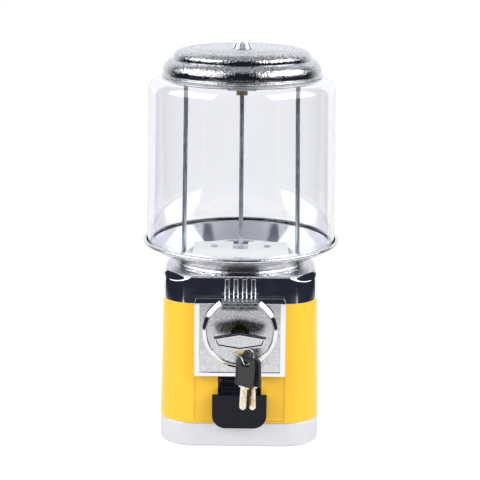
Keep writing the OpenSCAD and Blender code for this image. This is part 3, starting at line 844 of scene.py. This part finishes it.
def make_mech_plate():
    """A smooth frame with a steep bevel along its top, round a pebbled field."""
    low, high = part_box("mech_plate")
    half, foot, front, back = high.x / MM, low.z / MM, low.y / MM, high.y / MM
    bevel_back, bevel_foot, bevel_taper = front + 2.1, 147.2, 1.6
    window = rectangle(38.6, 77.8, 146.5)
    bm = prism(rectangle(half, foot, high.z / MM), (front, bevel_back, back), (window,))
    for vert in bm.verts:
        if vert.co.z > high.z - SAME_PLACE:
            if vert.co.y < front * MM + SAME_PLACE:
                vert.co.z = bevel_foot * MM
            else:
                vert.co.x *= 1 - bevel_taper / half
    mesh = rounded_mesh(bm, "plate_frame", width=0.45, angle=15)
    add_piece("plate_frame", mesh, "mech_plate", MATERIALS["chrome"])
    disc_hole = circle(30.5, dial_axis())
    field = prism(rectangle(39.2, 77.4, 146.9), (front + 1.2, front + 3.4), (disc_hole,))
    add_piece("plate_field", finish_mesh(field, "plate_field", keep_flat=30), "mech_plate")


def make_hood():
    """A coin hood: a thin flange over a block with level grooves.

    Behind the block, two lugs leave the coin slot between them.
    """
    low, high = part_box("coin_hood")
    half, front, plate = high.x / MM, low.y / MM, high.y / MM
    foot, top = low.z / MM, high.z / MM
    back = plate - 2.6
    flange = 1.3
    # Distance behind the flange's edge, with the height above the foot or below the top.
    block = (
        (1.9, 0.0), (1.6, 1.0), (3.2, 1.3), (3.2, 2.0), (1.5, 2.2),
        (2.3, 4.2), (4.2, 4.4), (4.2, 5.4), (1.6, 5.6),
    )
    crown = ((2.4, 2.4), (3.0, 2.2), (3.0, 1.5), (0.0, flange), (0.2, 0.0))
    profile = [(back, foot)]
    profile += [(front + inset, foot + height) for inset, height in block]
    profile += [(front + inset, top - drop) for inset, drop in crown]
    profile += [(back, top)]
    bm = prism(profile, (-half, half))
    place(bm, Matrix(((0, 1, 0, 0), (1, 0, 0, 0), (0, 0, 1, 0), (0, 0, 0, 1))))
    mesh = rounded_mesh(bm, "hood_block", width=0.2)
    add_piece("hood_block", mesh, "coin_hood", HOOD_CHROME)
    slot_half = 13.4
    for side, name in ((-1, "hood_lug_left"), (1, "hood_lug_right")):
        near, far = side * slot_half, side * half
        bm = prism(
            [(near, top - flange), (far, top - flange), (far, top), (near, top)],
            (back - 0.3, plate),
        )
        add_piece(name, rounded_mesh(bm, name, width=0.15), "coin_hood", HOOD_CHROME)


# ---------------------------------------------------------------- keys

KEY_TURN = math.radians(-33)
# Where each key hangs on the ring's wire, and its lean in degrees.
KEY_PLACES = {"key_a": ((5.0, -112.4, 96.0), 4.0), "key_b": ((10.4, -108.9, 95.8), -2.0)}


def key_matrix(key):
    """The place, turn and lean of a hanging key."""
    where, lean = KEY_PLACES[key]
    turn = Matrix.Rotation(KEY_TURN, 4, "Z") @ Matrix.Rotation(math.radians(lean), 4, "Y")
    return Matrix.Translation(Vector(where) * MM) @ turn


def make_key(key):
    """A moulded head with a raised border, and a blade with a milled groove and a dimple."""
    half, foot, top = 10, -22.8, 5
    head = rounded_rectangle(-half, half, foot, top, 0.9, 4.8, steps=6)
    slot = rounded_rectangle(-4.4, 4.4, -2.8, 2.8, 1.2, 1.2)
    panel = rounded_rectangle(-8.4, 8.4, -21.2, -4.4, 0.8, 0.8)
    collar, blade_half, shoulder, tip = 5.4, 3.4, -24.4, -46.5
    blade = fillet([
        (-collar, foot), (-collar, shoulder), (-blade_half, shoulder), (-blade_half, tip, 3.3),
        (blade_half, tip, 3.3), (blade_half, shoulder), (collar, shoulder), (collar, foot),
    ], 6)
    dimple = [(x - 1.2, z) for x, z in circle(0.8, -35, 16)]
    groove = fillet([(0.3, -25.2, 0.4), (1.9, -25.2, 0.4), (1.9, -43.6, 0.7), (0.3, -43.6, 0.7)], 4)
    # Piece, CAD node, outline, holes, depths from front to back, and rounding. Layers overlap.
    layers = (
        ("grip", "head", head, (slot,), (0.5, 2.8), 0.3),
        ("border", "head", head, (slot, panel), (0, 0.9), 0.25),
        ("shank", "blade", blade, (dimple,), (0.9, 2.3), 0.2),
        ("bitting", "blade", blade, (dimple, groove), (0.5, 1.1), 0.15),
    )
    for name, part, outline, holes, depths, rounding in layers:
        piece = key + "_" + name
        bm = place(prism(outline, depths, holes), key_matrix(key))
        add_piece(piece, rounded_mesh(bm, piece, rounding), key + "_" + part)


def make_ring():
    """The ring's wire, its flat sides rounded."""
    piece = add_piece("ring_wire", finish_mesh(cad_mesh("key_ring"), "ring_wire"), "key_ring")
    rounding = piece.modifiers.new("round", "SUBSURF")
    rounding.levels = 1
    rounding.render_levels = 1


# ---------------------------------------------------------------- the object

for name, node in nodes.items():
    node.data.materials.clear()
    node.data.materials.append(MATERIALS[SLOT_OF[name]])

make_camera()
make_lid()
make_tray()
make_globe()
make_dial_ring()
make_handle()
make_mech_plate()
make_hood()
make_key("key_a")
make_key("key_b")
make_ring()

# Nodes that keep their CAD shape, and the millimetres that round their edges.
SOFT_NODES = {
    "base_pan": 0.8,
    "body_shell": 0.7,
    "top_housing": 0.5,
    "cover_plate": 0.6,
    "chute_flap": 0.5,
    "brass_nut": 0.4,
    "lock_barrel": 0.25,
    "crossbar": 0.3,
    "key_stud": 0.25,
    "rod_nuts": 0.3,
}
for node, width in SOFT_NODES.items():
    soften(node, width)
# The bush gets the dull brass with painted shade.
soften("brass_bush", 0.3, DULL_BRASS_PAINTED_SHADE)

# ---------------------------------------------------------------- stage and light

WHITE = (1.0, 1.0, 1.0)
BACKDROP = (1.05, 1.08, 1.16)
ROOM = (0.020, 0.023, 0.036)
CEILING = (0.50, 0.51, 0.55)
SOFTBOX = (3.8, 3.8, 3.9)
FILL = (0.94, 0.94, 0.96)
FILL_SHARE = 0.8
FLOOR_COLOR = (0.45, 0.45, 0.455, 1)

# Degrees: side is measured from straight ahead of the machine, and rise from level.
BACKDROP_FROM = 129
CEILING_FROM, CEILING_SOFT = 52, 6
SOFTBOX_SIDE, SOFTBOX_RISE, SOFTBOX_SOFT = (36, 104), (11, 50), 2
GAP_SIDE, GAP_RISE, GAP_SOFT = (157, 168), (46.5, 53.5), 1
GAP_DEPTH = 0.8

TABLE_FRONT = 0.60
TABLE_SIDE = 0.50
TABLE_EDGE = 0.015
FLOOR_HALF = 12.0
FLOOR_Z = -0.0002
PLAIN_FROM, PLAIN_FULL = 0.42, 0.70
GLOW = 0.60
MIRRORED_GLOW = 0.40

LAMP_POWER = 10.6
LAMP_SIZE = 0.9
LAMP_AIM = Vector((0, 0, 0.15))

BACKDROP_EDGE = (math.radians(BACKDROP_FROM), 0.05)


def make_world():
    """What metal sees: a dark room with a soft lamp on each side and a white backdrop.

    The ceiling is grey, with a dark gap to each side behind the machine. Surfaces are lit by it
    mixed with an even fill. The camera sees plain white, as does a line of sight that passes
    through the globe without having met metal.
    """
    world = bpy.data.worlds.new("studio")
    bpy.context.scene.world = world
    env = Nodes(world, clear=True)
    shade = env.node("Background", Strength=1.0)
    env.feed(env.node("OutputWorld").inputs[0], shade.outputs[0])
    split = env.node("SeparateXYZ")
    env.feed(split.inputs[0], env.node("TexCoord").outputs["Generated"])
    x, y, z = split.outputs
    rise = env.math("ARCSINE", z)
    side = env.side_angle(x, y)

    def above(value, limit, soft):
        return env.step(value, math.radians(limit), math.radians(soft))

    def between(value, limits, soft):
        inside = env.math("SUBTRACT", 1.0, above(value, limits[1], soft))
        return env.math("MULTIPLY", above(value, limits[0], soft), inside)

    def patch(side_limits, rise_limits, soft):
        return env.math(
            "MULTIPLY", between(side, side_limits, soft), between(rise, rise_limits, soft),
        )

    color = env.mix(env.step(side, *BACKDROP_EDGE), ROOM, BACKDROP)
    color = env.mix(above(rise, CEILING_FROM, CEILING_SOFT), color, CEILING)
    color = env.mix(patch(SOFTBOX_SIDE, SOFTBOX_RISE, SOFTBOX_SOFT), color, SOFTBOX)
    gaps = env.math("MULTIPLY", patch(GAP_SIDE, GAP_RISE, GAP_SOFT), GAP_DEPTH)
    color = env.mix(gaps, color, ROOM)
    path = env.node("LightPath").outputs
    color = env.mix(path["Is Diffuse Ray"], color, env.mix(FILL_SHARE, color, FILL))
    unmirrored = env.math("LESS_THAN", path["Glossy Depth"], 0.5)
    through = env.math("MULTIPLY", path["Is Transmission Ray"], unmirrored)
    seen = env.math("MAXIMUM", path["Is Camera Ray"], through)
    env.feed(shade.inputs["Color"], env.mix(seen, color, WHITE))


def make_floor():
    """A white floor that keeps the shadow.

    Metal sees a white table on it, and the dark room past the table's front and sides. Far from
    the machine the floor turns into the plain white of the background.
    """
    h = FLOOR_HALF
    mesh = bpy.data.meshes.new("floor")
    corners = [(x, y, FLOOR_Z) for x, y in ((-h, -h), (h, -h), (h, h), (-h, h))]
    mesh.from_pydata(corners, [], [(0, 1, 2, 3)])
    floor = add_object("floor", mesh)
    material = bpy.data.materials.new("floor")
    s = Nodes(material, clear=True)
    path = s.node("LightPath").outputs
    mirrored = s.math("GREATER_THAN", path["Glossy Depth"], 0.5)
    split = s.node("SeparateXYZ")
    s.feed(split.inputs[0], s.node("NewGeometry").outputs["Position"])
    x, y = split.outputs[:2]

    ahead = s.math("DIVIDE", s.math("MULTIPLY", y, -1.0), TABLE_FRONT)
    aside = s.math("DIVIDE", s.math("ABSOLUTE", x), TABLE_SIDE)
    past_edge = s.step(s.math("MAXIMUM", ahead, aside), 1.0, TABLE_EDGE)
    before_backdrop = s.math("SUBTRACT", 1.0, s.step(s.side_angle(x, y), *BACKDROP_EDGE))
    dark = s.math("MULTIPLY", s.math("MULTIPLY", past_edge, before_backdrop), mirrored)
    plain = s.node("Emission")
    s.feed(plain.inputs["Color"], s.mix(dark, WHITE, ROOM))

    seen = s.math("MAXIMUM", path["Is Camera Ray"], path["Is Glossy Ray"])
    seen = s.math("MAXIMUM", seen, path["Is Transmission Ray"])
    loss = s.math("MULTIPLY", mirrored, GLOW - MIRRORED_GLOW)
    glow = s.node("Emission")
    s.feed(glow.inputs["Strength"], s.math("SUBTRACT", s.math("MULTIPLY", seen, GLOW), loss))
    diffuse = s.node("BsdfDiffuse", Color=FLOOR_COLOR)
    shadowed = s.node("AddShader")
    s.feed(shadowed.inputs[0], diffuse.outputs[0])
    s.feed(shadowed.inputs[1], glow.outputs[0])

    squares = s.math("ADD", s.math("MULTIPLY", x, x), s.math("MULTIPLY", y, y))
    away = s.math("SQRT", squares)
    fade = s.spread(away, (PLAIN_FROM, PLAIN_FULL), way="SMOOTHSTEP")
    whole = s.node("MixShader")
    s.feed(whole.inputs[0], fade)
    s.feed(whole.inputs[1], shadowed.outputs[0])
    s.feed(whole.inputs[2], plain.outputs[0])
    s.feed(s.node("OutputMaterial").inputs["Surface"], whole.outputs[0])
    mesh.materials.append(material)


def make_lamp(name, where):
    """A square lamp that lights the machine and is not seen itself."""
    data = bpy.data.lights.new(name, "AREA")
    data.shape = "RECTANGLE"
    data.size = data.size_y = LAMP_SIZE
    data.energy = LAMP_POWER
    lamp = add_object(name, data)
    lamp.location = where
    lamp.rotation_euler = (LAMP_AIM - Vector(where)).to_track_quat("-Z", "Y").to_euler()
    lamp.visible_glossy = False
    lamp.visible_camera = False
    lamp.visible_transmission = False


bpy.context.scene.view_settings.view_transform = "Standard"
make_world()
make_floor()
make_lamp("lamp_left", (-1.3, -0.9, 1.0))
make_lamp("lamp_right", (1.3, -0.9, 1.0))

bpy.context.view_layer.update()
